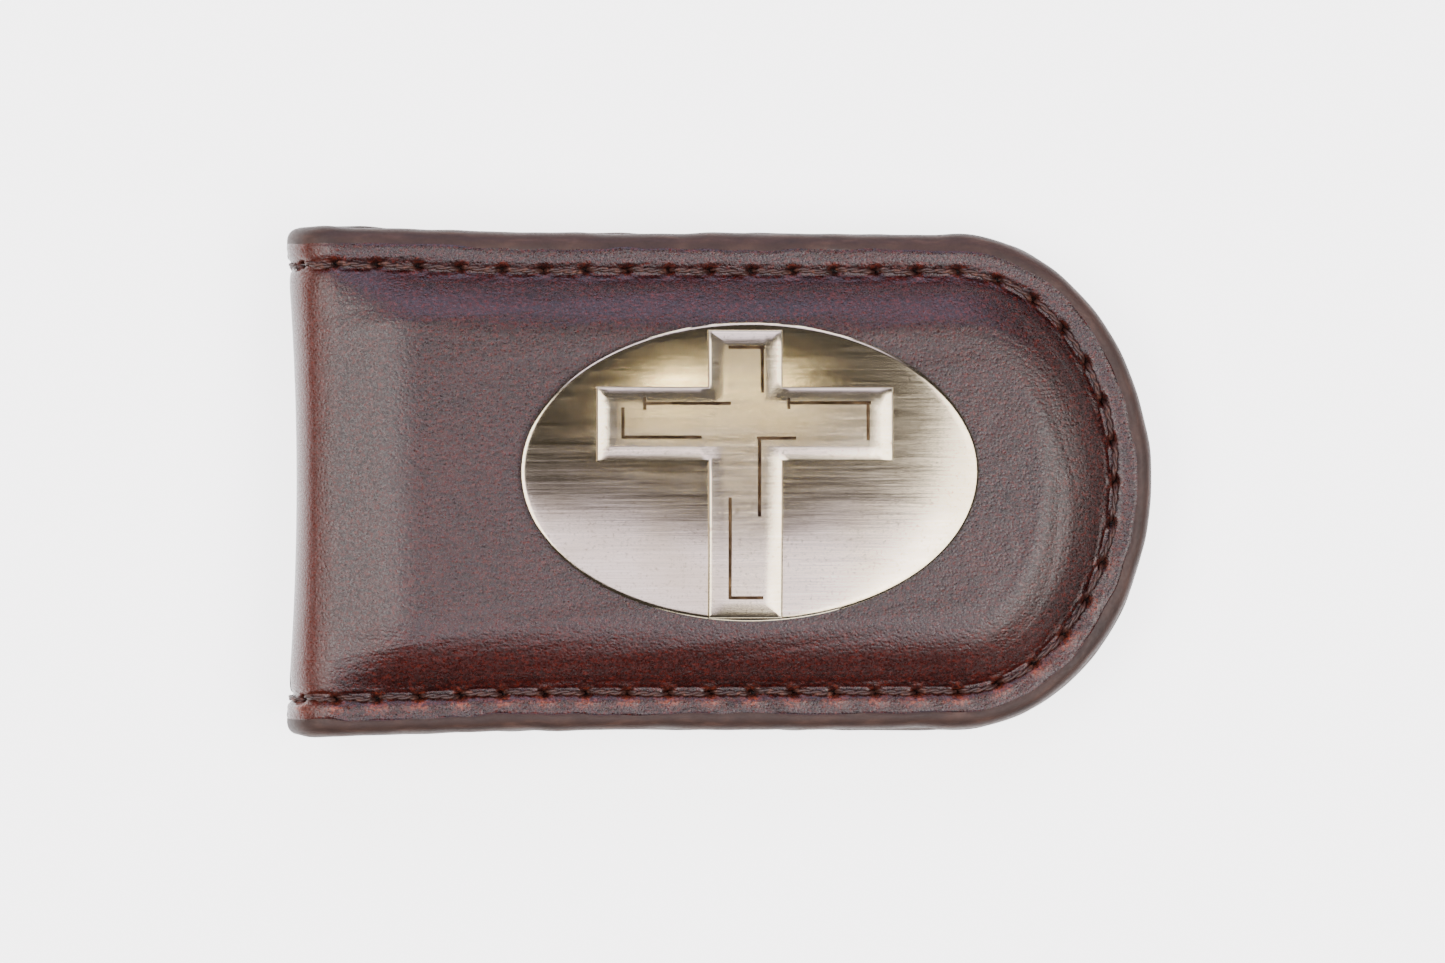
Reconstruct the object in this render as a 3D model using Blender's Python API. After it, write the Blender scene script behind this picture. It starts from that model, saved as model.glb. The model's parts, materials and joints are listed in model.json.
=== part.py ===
"""A leather money clip that closes with magnets, modelled in Blender.

One strip of leather is folded in two. Each leaf is a cover and a lining sewn round a filler board that
holds a magnet, and an oval concho with a raised cross is fixed to the front leaf by two bent prongs.

The frame: +X runs from the fold to the rounded ends, +Z up. The back leaf lies on z = 0, and the origin is
the middle of the object's base. Sizes are in millimetres and are turned to metres where a mesh is made.

Each leaf is drawn in a frame of its own, whose origin is the centre of the fold: x runs to the leaf's tip,
z runs outwards through its layers, and a layer's height is counted from the lining's bare face.
"""

import math

import bmesh
import bpy
from mathutils import Euler, Vector

MM = 0.001

# Leaf
OVERALL_LENGTH = 73.0  # closed, from the fold to the tips
LEAF_WIDTH = 41.6
END_DEPTH = 17.0  # length of a leaf's rounded end
COVER_THICK = 1.3
LINING_THICK = 0.9
LAYER_GAP = 0.1  # left between any two pieces that touch
EDGE_ROUND = 0.8  # taken off the cover's outer edge
LINING_EDGE_ROUND = 0.3

# Fold
BILL_GAP = 4.6  # between the linings at the fold
TIP_GAP = 0.25  # between the linings at the tips
FOLD_FLARE = 0.45  # how much wider each side is at the fold
FLARE_RUN = 16.0
FOLD_WAIST = 1.0  # how far the fold draws in between its ends
HINGE_ANGLE = math.radians(45)  # from a leaf's flat to the line that it bends on

# Padded middle
FILLER_THICK = 1.8
FILLER_EDGE = 0.4  # height of the filler's square edge, below its skived slope
FILLER_FOOT_SETBACK = 1.1  # from where the cover's flesh side starts to rise to the filler's foot
FILLER_TOP_SETBACK = 0.2  # from where it has risen in full to the filler's flat
FILLER_CORNER = 3.0
PAD_MARGIN = 1.35  # from the seam to where the cover starts to rise
PAD_SLOPE = 3.0
PAD_START_SLOPE = 4.3  # at the fold end, where the leaf's flat begins
PAD_SHIFT = 0.5  # how much further in the cover's flesh side rises

# Magnets
MAGNET_LENGTH = 12.7
MAGNET_WIDTH = 19.0
MAGNET_THICK = 1.2
MAGNET_BEVEL = 0.2
MAGNET_TIP_MARGIN = 20.2  # from the magnet's middle to the leaf's tip
MAGNET_CLEARANCE = 0.15

# Seam
SEAM_INSET = 3.15
THREAD_WIDTH = 0.6
THREAD_HEIGHT = 0.34
THREAD_CLEARANCE = 0.06
GROOVE_WALL = 0.05  # how far a groove's wall leans

# Concho
CONCHO_LENGTH = 38.1
CONCHO_WIDTH = 24.8
CONCHO_RIM = 0.7
CONCHO_DOME = 0.45
CONCHO_TIP_MARGIN = 34.1  # from the concho's centre to the leaf's tip
CONCHO_Y = 0.8
CROSS_X = -0.45  # the cross's middle line, from the concho's centre
CROSS_ARM_Y = 3.9  # the crossbar's middle line
CROSS_TOP_MARGIN = 0.7  # from the oval's highest point
CROSS_FOOT_MARGIN = 0.35
CROSS_END_MARGIN = 6.75  # from the oval's two ends
CROSS_BAR = 6.2  # width of both bars
CROSS_BEVEL = 1.25
CROSS_RISE = 0.6
PRONG_SPACING = 11.0
PRONG_WIDTH = 3.0
PRONG_THICK = 0.5
PRONG_BENT = 3.8
PRONG_CLEARANCE = 0.15

# Worked out from the sizes above
INNER_RADIUS = BILL_GAP / 2
BORDER = LINING_THICK + LAYER_GAP + COVER_THICK
OUTER_RADIUS = INNER_RADIUS + BORDER
PAD_RISE = FILLER_THICK + LAYER_GAP
PAD_FOOT = SEAM_INSET + PAD_MARGIN
PAD_FLAT = PAD_FOOT + PAD_SLOPE + PAD_SHIFT  # from here in, every layer is flat
FILLER_INSET = PAD_FOOT + PAD_SHIFT + FILLER_FOOT_SETBACK
FILLER_SKIVE = PAD_FLAT + FILLER_TOP_SETBACK - FILLER_INSET
FILLER_START = PAD_START_SLOPE + PAD_SHIFT + FILLER_TOP_SETBACK - FILLER_SKIVE
HALF_WIDTH = LEAF_WIDTH / 2
FOLD_X = OUTER_RADIUS - OVERALL_LENGTH / 2
FOLD_Z = OUTER_RADIUS + PAD_RISE
BACK_LENGTH = OVERALL_LENGTH / 2 - FOLD_X
# The front leaf leans down from the fold until the linings are TIP_GAP apart at the tips.
TILT = math.acos((TIP_GAP - INNER_RADIUS) / math.hypot(INNER_RADIUS, BACK_LENGTH)) - math.atan2(
    BACK_LENGTH, INNER_RADIUS
)
FRONT_LENGTH = (BACK_LENGTH - OUTER_RADIUS * math.sin(TILT)) / math.cos(TILT)
FOLD_ANGLE = math.pi + TILT
CONCHO_X = FRONT_LENGTH - CONCHO_TIP_MARGIN
COVER_LOW = LINING_THICK + LAYER_GAP
PAD_TOP = BORDER + PAD_RISE
HINGE_GAP_ANGLE = LAYER_GAP / 2 / OUTER_RADIUS
GROOVE_DEPTH = THREAD_HEIGHT + THREAD_CLEARANCE
GROOVE_HALF = THREAD_WIDTH / 2 + THREAD_CLEARANCE

# Colours as the renderer takes them, linear: (red, green, blue), roughness, metallic
FINISHES = {
    "cover_leather": ((0.065, 0.018, 0.014), 0.40, 0.0),
    "lining_leather": ((0.075, 0.026, 0.016), 0.60, 0.0),
    "filler_board": ((0.30, 0.20, 0.12), 0.85, 0.0),
    "magnet": ((0.45, 0.45, 0.46), 0.30, 1.0),
    "nickel_silver": ((0.52, 0.48, 0.41), 0.32, 1.0),
    "thread": ((0.07, 0.035, 0.022), 0.70, 0.0),
}


# Shared tools ---------------------------------------------------------------------------------------------


def smooth_step(value):
    """0 below 0, 1 above 1, and an even curve between."""
    value = min(1.0, max(0.0, value))
    return value * value * (3 - 2 * value)


def material(name):
    """The Principled material of this finish, made once."""
    found = bpy.data.materials.get(name)
    if found:
        return found
    colour, roughness, metallic = FINISHES[name]
    made = bpy.data.materials.new(name)
    made.use_nodes = True
    made.diffuse_color = (*colour, 1.0)
    shader = made.node_tree.nodes["Principled BSDF"]
    shader.inputs["Base Color"].default_value = (*colour, 1.0)
    shader.inputs["Roughness"].default_value = roughness
    shader.inputs["Metallic"].default_value = metallic
    return made


def empty(name, location, rotation=(0.0, 0.0, 0.0), parent=None):
    """An empty at this place, in millimetres, in its parent's frame."""
    made = bpy.data.objects.new(name, None)
    bpy.context.collection.objects.link(made)
    made.location = Vector(location) * MM
    made.rotation_euler = Euler(rotation)
    made.parent = parent
    return made


def add_object(name, bm, finish, parent):
    """Closes the bmesh into an object in its parent's frame, with its faces outwards."""
    bmesh.ops.remove_doubles(bm, verts=bm.verts, dist=1e-7)
    bmesh.ops.recalc_face_normals(bm, faces=bm.faces)
    mesh = bpy.data.meshes.new(name)
    bm.to_mesh(mesh)
    bm.free()
    mesh.shade_smooth()
    mesh.set_sharp_from_angle(angle=math.radians(30))
    mesh.materials.append(material(finish))
    made = bpy.data.objects.new(name, mesh)
    bpy.context.collection.objects.link(made)
    made.parent = parent
    return made


def face(bm, verts):
    """A face through these vertices, leaving out repeats and faces that have no area."""
    kept = [v for i, v in enumerate(verts) if v is not verts[i - 1]]
    if len(set(kept)) > 2:
        bm.faces.new(kept)


def loft(rings):
    """A closed bmesh through rings of points in millimetres, filled at its first and last ring."""
    bm = bmesh.new()
    rows = [[bm.verts.new(Vector(point) * MM) for point in ring] for ring in rings]
    for row, following in zip(rows, rows[1:]):
        for i in range(len(row)):
            bm.faces.new([row[i - 1], row[i], following[i], following[i - 1]])
    bm.faces.new(rows[0])
    bm.faces.new(rows[-1])
    return bm


def box(size, centre):
    """A box as a bmesh, its size and centre in millimetres."""
    bm = bmesh.new()
    bmesh.ops.create_cube(bm, size=1.0)
    bmesh.ops.scale(bm, vec=Vector(size) * MM, verts=bm.verts)
    bmesh.ops.translate(bm, vec=Vector(centre) * MM, verts=bm.verts)
    return bm


def combine(target, tool, operation):
    """Cuts tool from target, or joins it on. Only target is part of the object afterwards."""
    boolean = target.modifiers.new(tool.name, "BOOLEAN")
    boolean.operation = operation
    boolean.object = tool
    tool.hide_render = True
    tool.display_type = "WIRE"


# The leather's shape --------------------------------------------------------------------------------------


def half_width(x):
    """Half of the strip's width at this place along a leaf. The strip is wider at the fold."""
    return HALF_WIDTH + FOLD_FLARE * (1 - smooth_step(x / FLARE_RUN))


def waist(y, angle):
    """How far the fold draws in here, angle being counted from either leaf's flat."""
    across = 1 - (y / half_width(0)) ** 2
    return FOLD_WAIST * across * math.sin(math.pi * angle / FOLD_ANGLE) ** 2


def leaf_point(angle, x, y, height):
    """A point of a leaf in its own frame: angle is how far round the fold it lies, and 0 on the flat."""
    radius = INNER_RADIUS + height
    drawn = waist(y, angle)
    return Vector(
        (
            x - radius * math.sin(angle) + drawn * math.cos(TILT / 2),
            y,
            radius * math.cos(angle) + drawn * math.sin(TILT / 2),
        )
    )


def leaf_stations(length):
    """Places along the leaf's outline, from the hinge line round the tip: (angle, x, turn round the end)."""
    last = HINGE_ANGLE - HINGE_GAP_ANGLE
    round_fold = [(last * k / 3, 0.0, None) for k in (3, 2, 1)]
    slope = [PAD_START_SLOPE * k / 5 for k in range(6)]
    end = length - END_DEPTH
    places = (*slope, PAD_START_SLOPE + PAD_SHIFT, FLARE_RUN / 2, FLARE_RUN, (FLARE_RUN + end) / 2)
    flat = [(0.0, x, None) for x in places]
    turns = 11
    tip = [(0.0, end, math.pi / 2 * (1 - k / turns)) for k in range(turns + 1)]
    return round_fold + flat + tip


def outline_point(station, inset):
    """(angle, x, y) of this station on the line that runs inset inside the leaf's edge."""
    angle, x, turn = station
    if turn is None:
        return angle, x, 0.0 if inset == HALF_WIDTH else half_width(x) - inset
    across = HALF_WIDTH - inset
    along = END_DEPTH - min(inset, PAD_FLAT)
    if inset > PAD_FLAT:  # these lines close in on the middle instead of keeping their distance
        along *= across / (HALF_WIDTH - PAD_FLAT)
    return angle, x + along * math.cos(turn), across * math.sin(turn)


def pad_share(inset, x, shift=0.0):
    """How much of its full rise the padded middle has here."""
    side = smooth_step((inset - PAD_FOOT - shift) / PAD_SLOPE)
    return side * smooth_step((x - shift) / PAD_START_SLOPE)


def close_layer(bm, upper, lower, edge_rows):
    """Covers both sheets of points with faces, and closes the gap along these rows and the rows' two ends."""
    for rows in (upper, lower):
        for row, following in zip(rows, rows[1:]):
            for i in range(len(row) - 1):
                face(bm, [row[i], row[i + 1], following[i + 1], following[i]])
    for j in edge_rows:
        for i in range(len(upper[j]) - 1):
            face(bm, [upper[j][i], upper[j][i + 1], lower[j][i + 1], lower[j][i]])
    for i in (0, -1):
        for j in range(len(upper) - 1):
            face(bm, [upper[j][i], upper[j + 1][i], lower[j + 1][i], lower[j][i]])


def leaf_layer(name, length, insets, faces, finish, parent):
    """A closed layer of a leaf between two faces, each a height worked out from (inset, x)."""
    half = leaf_stations(length)
    sides = [(s, 1) for s in half] + [(s, -1) for s in reversed(half[:-1])]
    bm = bmesh.new()
    known = {}

    def vertex(place):
        key = tuple(round(c, 4) for c in place)
        if key not in known:
            known[key] = bm.verts.new(place * MM)
        return known[key]

    def sheet(height):
        rows = []
        for inset in insets:
            row = []
            for station, side in sides:
                angle, x, y = outline_point(station, inset)
                row.append(vertex(leaf_point(angle, x, side * y, height(inset, x))))
            rows.append(row)
        return rows

    upper, lower = (sheet(height) for height in faces)
    close_layer(bm, upper, lower, edge_rows=(0,))
    return add_object(name, bm, finish, parent)


def groove_lines():
    """The insets of a seam groove's two edges and two bottom corners."""
    return [
        SEAM_INSET - GROOVE_HALF - GROOVE_WALL,
        SEAM_INSET - GROOVE_HALF,
        SEAM_INSET + GROOVE_HALF,
        SEAM_INSET + GROOVE_HALF + GROOVE_WALL,
    ]


def in_groove(inset):
    return abs(inset - SEAM_INSET) < GROOVE_HALF + GROOVE_WALL / 2


def cover_top(inset, x):
    height = BORDER + PAD_RISE * pad_share(inset, x)
    if inset < EDGE_ROUND:
        height -= EDGE_ROUND - inset
    if in_groove(inset):
        height -= GROOVE_DEPTH
    return height


def cover_bottom(inset, x):
    return COVER_LOW + PAD_RISE * pad_share(inset, x, PAD_SHIFT)


def lining_top(inset, x):
    return LINING_THICK


def lining_bottom(inset, x):
    """The lining's bare face, which the bills lie against."""
    if inset < LINING_EDGE_ROUND:
        return LINING_EDGE_ROUND - inset
    return GROOVE_DEPTH if in_groove(inset) else 0.0


COVER_FACES = (cover_top, cover_bottom)
LINING_FACES = (lining_top, lining_bottom)


def flat_insets():
    """The lines across a layer's middle, which cover and lining share so that neither cuts the other."""
    return [PAD_FLAT, (PAD_FLAT + HALF_WIDTH) / 2, HALF_WIDTH]


def cover_insets():
    slope = [PAD_FOOT + PAD_SLOPE * k / 4 for k in range(5)]
    return [0.0, EDGE_ROUND, *groove_lines(), *slope, *flat_insets()]


def lining_insets():
    return [0.0, LINING_EDGE_ROUND, *groove_lines(), PAD_FOOT, *flat_insets()]


def fold_angles():
    """Angles round the fold from one hinge line to the other, counted from the back leaf's flat."""
    first, last = HINGE_ANGLE + HINGE_GAP_ANGLE, FOLD_ANGLE - HINGE_ANGLE - HINGE_GAP_ANGLE
    steps = 8
    return [first + (last - first) * k / steps for k in range(steps + 1)]


def fold_layer(name, insets, faces, finish, parent):
    """A closed strip of the fold between its two hinge lines, from one side of the clip to the other."""
    across = [(d, 1) for d in insets] + [(d, -1) for d in reversed(insets[:-1])]
    bm = bmesh.new()

    def sheet(height):
        rows = []
        for angle in fold_angles():
            row = []
            for inset, side in across:
                y = side * outline_point((angle, 0.0, None), inset)[2]
                row.append(bm.verts.new(fold_point(angle, y, height(inset, -1.0)) * MM))
            rows.append(row)
        return rows

    upper, lower = (sheet(height) for height in faces)
    close_layer(bm, upper, lower, edge_rows=(0, -1))
    return add_object(name, bm, finish, parent)


def fold_point(angle, y, height):
    """A point of the fold, angle being counted from the back leaf's flat, from the fold's centre."""
    radius = INNER_RADIUS + height
    drawn = waist(y, angle)
    return Vector(
        (
            -radius * math.sin(angle) + drawn * math.cos(TILT / 2),
            y,
            -radius * math.cos(angle) - drawn * math.sin(TILT / 2),
        )
    )


# Filler boards and magnets --------------------------------------------------------------------------------


def filler_outline(length, extra):
    """The board's outline, extra further in than its foot, as (x, y) points in order."""
    inset = FILLER_INSET + extra
    across = HALF_WIDTH - inset
    left = FILLER_START + extra
    radius = FILLER_CORNER - extra / 2
    end = length - END_DEPTH
    corner = [math.radians(90 + 15 * k) for k in range(7)]
    side = [(left + radius + radius * math.cos(a), across - radius + radius * math.sin(a)) for a in corner]
    tip = []
    for k in range(12):
        turn = math.pi / 2 * (k / 12)
        tip.append((end + (END_DEPTH - inset) * math.cos(turn), across * math.sin(turn)))
    tip.append((end, across))
    upper = tip + side
    return upper + [(x, -y) for x, y in reversed(upper) if y > 1e-9]


def filler(name, length, parent):
    """A die-cut board with a skived edge and a window for the magnet."""
    low = INNER_RADIUS + COVER_LOW
    levels = [(0.0, low), (0.0, low + FILLER_EDGE), (FILLER_SKIVE, low + FILLER_THICK)]
    rings = [[(x, y, height) for x, y in filler_outline(length, extra)] for extra, height in levels]
    made = add_object(name, loft(rings), "filler_board", parent)
    window = (MAGNET_LENGTH + 2 * MAGNET_CLEARANCE, MAGNET_WIDTH + 2 * MAGNET_CLEARANCE, 4 * FILLER_THICK)
    centre = (length - MAGNET_TIP_MARGIN, 0.0, low + FILLER_THICK / 2)
    combine(made, add_object(name + "_window", box(window, centre), "filler_board", parent), "DIFFERENCE")
    return made


def magnet(name, length, parent):
    """A flat block magnet in the middle of its board's window."""
    height = INNER_RADIUS + COVER_LOW + MAGNET_THICK / 2
    centre = (length - MAGNET_TIP_MARGIN, 0.0, height)
    bm = box((MAGNET_LENGTH, MAGNET_WIDTH, MAGNET_THICK), centre)
    bmesh.ops.bevel(bm, geom=list(bm.edges), offset=MAGNET_BEVEL * MM, segments=1, affect="EDGES")
    return add_object(name, bm, "magnet", parent)


# Seam threads ---------------------------------------------------------------------------------------------


def thread(name, path, parent):
    """A flattened thread along a path of (place, outward direction) pairs."""
    profile = [(-0.5, 0.0), (-0.3, 0.5), (0.3, 0.5), (0.5, 0.0), (0.3, -0.5), (-0.3, -0.5)]
    rings = []
    for i, (place, outward) in enumerate(path):
        before, after = path[max(0, i - 1)][0], path[min(len(path) - 1, i + 1)][0]
        wide = outward.cross((after - before).normalized()) * THREAD_WIDTH
        high = outward * THREAD_HEIGHT
        rings.append([place + wide * across + high * up for across, up in profile])
    return add_object(name, loft(rings), "thread", parent)


def leaf_seam(name, length, height, parent):
    """The thread that runs round a leaf's margin at this height."""
    half = leaf_stations(length)
    path = []
    for side, stations in ((1, half), (-1, list(reversed(half[:-1])))):
        for station in stations:
            angle, x, y = outline_point(station, SEAM_INSET)
            outward = Vector((-math.sin(angle), 0.0, math.cos(angle)))
            place = leaf_point(angle, x, side * y, height)
            if not path or (place - path[-1][0]).length > LAYER_GAP:
                path.append((place, outward))
    return thread(name, path, parent)


def fold_seam(name, side, height, parent):
    """The thread that runs over the fold on one side, between the two hinge lines."""
    path = []
    for angle in fold_angles():
        outward = Vector((-math.sin(angle), 0.0, -math.cos(angle)))
        y = side * (half_width(0) - SEAM_INSET)
        path.append((fold_point(angle, y, height), outward))
    return thread(name, path, parent)


# Concho ---------------------------------------------------------------------------------------------------


def cross_outline(grow):
    """The Latin cross's twelve corners, each side moved out by grow, from the concho's centre."""
    half = CROSS_BAR / 2 + grow
    span = CONCHO_LENGTH / 2 - CROSS_END_MARGIN + grow
    top = CONCHO_WIDTH / 2 - CROSS_TOP_MARGIN + grow
    foot = CROSS_FOOT_MARGIN - CONCHO_WIDTH / 2 - grow
    high, low = CROSS_ARM_Y + half, CROSS_ARM_Y - half
    right = [(half, foot), (half, low), (span, low), (span, high), (half, high), (half, top)]
    corners = right + [(-x, y) for x, y in reversed(right)]
    return [(CROSS_X + x, y) for x, y in corners]


def concho_point(x, y, height):
    """A point this far from the concho's centre and above its back, in the front leaf's frame."""
    return CONCHO_X + x, CONCHO_Y + y, INNER_RADIUS + PAD_TOP + LAYER_GAP + height


def concho(name, parent):
    """A domed oval plate with a bevelled cross standing on it."""
    points, steps = 40, 4
    turns = [2 * math.pi * k / points for k in range(points)]

    def oval(share, height):
        return [
            concho_point(
                share * CONCHO_LENGTH / 2 * math.cos(turn), share * CONCHO_WIDTH / 2 * math.sin(turn), height
            )
            for turn in turns
        ]

    shares = [1 - k / steps for k in range(steps)]
    domed = [oval(share, CONCHO_RIM + CONCHO_DOME * (1 - share**2)) for share in shares]
    plate = add_object(name, loft([oval(1.0, 0.0), *domed]), "nickel_silver", parent)
    crown = CONCHO_RIM + CONCHO_DOME + CROSS_RISE
    shoulder = CONCHO_RIM + CONCHO_DOME / 4
    levels = [(0.0, CONCHO_RIM / 2), (0.0, shoulder), (-CROSS_BEVEL, crown)]
    raised = loft([[concho_point(x, y, height) for x, y in cross_outline(grow)] for grow, height in levels])
    combine(plate, add_object(name + "_cross", raised, "nickel_silver", parent), "UNION")


def prong(name, x, bend, cover, board, parent):
    """A flat prong from the concho's back through the cover, bent over under it. It cuts its own room."""
    top = INNER_RADIUS + PAD_TOP
    under = top - COVER_THICK
    low = under - LAYER_GAP - PRONG_THICK
    outer, inner = x - bend * PRONG_THICK / 2, x + bend * PRONG_THICK / 2
    tip = outer + bend * PRONG_BENT
    high = low + PRONG_THICK
    corners = [(outer, low), (tip, low), (tip, high), (inner, high), (inner, top), (outer, top)]
    sides = (CONCHO_Y - PRONG_WIDTH / 2, CONCHO_Y + PRONG_WIDTH / 2)
    add_object(name, loft([[(cx, y, cz) for cx, cz in corners] for y in sides]), "nickel_silver", parent)
    across = PRONG_WIDTH + 2 * PRONG_CLEARANCE
    slit = (PRONG_THICK + 2 * PRONG_CLEARANCE, across, 3 * COVER_THICK)
    opening = box(slit, (x, CONCHO_Y, top - COVER_THICK / 2))
    combine(cover, add_object(name + "_slit", opening, "cover_leather", parent), "DIFFERENCE")
    depth = PRONG_THICK + 2 * LAYER_GAP
    room = (PRONG_BENT + 2 * PRONG_CLEARANCE, across, 2 * depth)
    recess = box(room, ((outer + tip) / 2, CONCHO_Y, under))
    combine(board, add_object(name + "_room", recess, "filler_board", parent), "DIFFERENCE")


# The clip -------------------------------------------------------------------------------------------------


def leaf(side, length, frame):
    """One leaf's cover, lining, filler, magnet and threads. Returns the cover and the filler."""
    cover = leaf_layer(side + "_cover", length, cover_insets(), COVER_FACES, "cover_leather", frame)
    leaf_layer(side + "_lining", length, lining_insets(), LINING_FACES, "lining_leather", frame)
    board = filler(side + "_filler", length, frame)
    magnet(side + "_magnet", length, frame)
    leaf_seam(side + "_needle_thread", length, BORDER - GROOVE_DEPTH / 2, frame)
    leaf_seam(side + "_bobbin_thread", length, GROOVE_DEPTH / 2, frame)
    return cover, board


def hinge_offset():
    """The hinge line in a leaf's own frame: on the cover's outer face, where the leather bends."""
    return Vector((-OUTER_RADIUS * math.sin(HINGE_ANGLE), 0.0, OUTER_RADIUS * math.cos(HINGE_ANGLE)))


def main():
    for obj in list(bpy.data.objects):
        bpy.data.objects.remove(obj)

    centre = Vector((FOLD_X, 0.0, FOLD_Z))
    hinge = hinge_offset()

    # The back leaf is the root. Its frame is turned over, so that its layers run down from the lining.
    back_frame = empty("back_leaf_frame", centre, (math.pi, 0.0, 0.0))
    leaf("back", BACK_LENGTH, back_frame)

    # The fold turns about the lower hinge line.
    lower = Vector((hinge.x, 0.0, -hinge.z))
    fold_pivot = empty("fold_pivot", centre + lower)
    fold_frame = empty("fold_frame", -lower, parent=fold_pivot)
    fold_layer("fold_cover", cover_insets(), COVER_FACES, "cover_leather", fold_frame)
    fold_layer("fold_lining", lining_insets(), LINING_FACES, "lining_leather", fold_frame)
    for side, word in ((1, "left"), (-1, "right")):
        fold_seam(f"fold_needle_thread_{word}", side, BORDER - GROOVE_DEPTH / 2, fold_frame)
        fold_seam(f"fold_bobbin_thread_{word}", side, GROOVE_DEPTH / 2, fold_frame)

    # The front leaf turns about the upper hinge line, and leans down to the tips.
    lean = Euler((0.0, TILT, 0.0))
    upper = hinge.copy()
    upper.rotate(lean)
    front_pivot = empty("front_leaf_pivot", upper, lean, parent=fold_frame)
    front_frame = empty("front_leaf_frame", -hinge, parent=front_pivot)
    cover, board = leaf("front", FRONT_LENGTH, front_frame)
    concho("concho", front_frame)
    for word, bend in (("fold", 1), ("tip", -1)):
        prong(f"concho_prong_{word}", CONCHO_X - bend * PRONG_SPACING / 2, bend, cover, board, front_frame)


main()
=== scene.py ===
"""A leather money clip with an oval concho: the looks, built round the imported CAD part.

The cover, the lining and their seam are modelled here as fine surfaces, the concho as a struck plate. The
boards, magnets and prongs are the CAD's own, and get their finishes.

Sizes are in millimetres until a mesh is made. Each leaf is drawn in a frame of its own, whose origin is the
centre of the fold: x runs to the leaf's tip, z runs outwards through its layers, and a height is counted from
the lining's bare face. Places along a leaf are given by a run, which is 0 in the middle of the fold, 1 where
the flat begins, 2 where the rounded end begins and 3 at the tip, and by an inset from the leaf's edge. Aside
is the distance inside the seam's line.
"""

import json
import math
import random

import bmesh
import bpy
import numpy as np
from mathutils import Euler, Matrix, Vector


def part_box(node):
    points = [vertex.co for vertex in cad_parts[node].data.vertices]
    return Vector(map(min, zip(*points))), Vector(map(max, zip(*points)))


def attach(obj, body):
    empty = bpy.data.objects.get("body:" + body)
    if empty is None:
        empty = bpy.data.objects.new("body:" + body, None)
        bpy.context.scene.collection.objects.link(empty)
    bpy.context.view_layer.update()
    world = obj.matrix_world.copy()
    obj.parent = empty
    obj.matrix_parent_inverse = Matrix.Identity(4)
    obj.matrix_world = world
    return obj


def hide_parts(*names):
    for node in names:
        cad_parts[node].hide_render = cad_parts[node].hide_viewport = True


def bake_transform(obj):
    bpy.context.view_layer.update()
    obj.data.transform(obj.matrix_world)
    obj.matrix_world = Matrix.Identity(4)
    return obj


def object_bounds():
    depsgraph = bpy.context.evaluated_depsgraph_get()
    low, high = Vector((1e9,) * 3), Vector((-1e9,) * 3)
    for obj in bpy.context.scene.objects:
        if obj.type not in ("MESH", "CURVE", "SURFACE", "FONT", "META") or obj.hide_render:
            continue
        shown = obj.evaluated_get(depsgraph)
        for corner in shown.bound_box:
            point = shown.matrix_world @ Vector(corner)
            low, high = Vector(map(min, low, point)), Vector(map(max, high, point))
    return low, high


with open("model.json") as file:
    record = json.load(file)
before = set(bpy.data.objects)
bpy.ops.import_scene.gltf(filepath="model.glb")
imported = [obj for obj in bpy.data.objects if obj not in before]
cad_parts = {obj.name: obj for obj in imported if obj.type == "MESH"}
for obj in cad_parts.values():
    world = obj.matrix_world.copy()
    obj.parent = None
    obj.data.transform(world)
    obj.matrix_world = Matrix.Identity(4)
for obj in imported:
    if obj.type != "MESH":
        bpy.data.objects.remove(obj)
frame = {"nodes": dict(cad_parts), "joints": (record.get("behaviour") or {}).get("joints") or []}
CAD_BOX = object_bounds()

MM = 0.001

# Leather
LINING_THICK = 0.9
LAYER_GAP = 0.1
COVER_THICK = 1.3
GLUE_LINE = 0.02  # what is left of the gap where the layers meet
BORDER = LINING_THICK + LAYER_GAP + COVER_THICK
PAD_RISE = 1.9  # how far the board lifts the cover
PAD_FOOT = 4.5  # inset where the cover's hidden face begins to rise over the board
PAD_SLOPE = 3.0  # and how long its rise is, from the sides and from the fold
PAD_START_SLOPE = 4.3
PAD_SHIFT = 0.5
PAD_FLAT = PAD_FOOT + PAD_SLOPE + PAD_SHIFT
PILLOW_FOOT = 3.8  # inset where the cover's outer face begins to rise
PILLOW_SLOPES = {"far": 5.0, "near": 5.8, "tip": 7.0}
PILLOW_START = [(-1.8, 0.0), (0.0, 3.3), (3.3, 7.0)]  # past the fold, its slope grows, holds and eases off
PILLOW_TOE = 0.1  # how softly the rise begins
END_DEPTH = 17.0  # length of the rounded end
FOLD_FLARE = 0.45  # how much wider the leather is at the fold, on each side
FLARE_RUN = 16.0
FOLD_WAIST = 1.0  # how far the fold is drawn in halfway across
HINGE_ANGLE = math.radians(45)
INNER_RADIUS = 2.3
OUTER_RADIUS = INNER_RADIUS + BORDER
CALM_RUN = 0.5  # how far from a join the skin's unevenness is full
CALM_WIDTH = 7.0
SKIN_WAVE = 0.035
LINING_WAVE = 0.03
SHARP_EDGE = math.radians(50)
WELD = 1e-7  # points closer than this, in metres, are one

# Burnished edge
EDGE_STEPS = 8  # rows round the cover's edge
EDGE_BAND = 1.4  # how far in the rounded edge reaches
EDGE_BAND_WAVE = 0.16
EDGE_DROP = 1.25
EDGE_CREASE = 0.07
EDGE_WAVE = 0.11
EDGE_SQUARENESS = 0.85  # 1 is a round edge, and less is squarer
LINING_EDGE_STEPS = 5
LINING_EDGE_BAND = 0.55
LINING_EDGE_HEIGHT = 0.72

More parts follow.
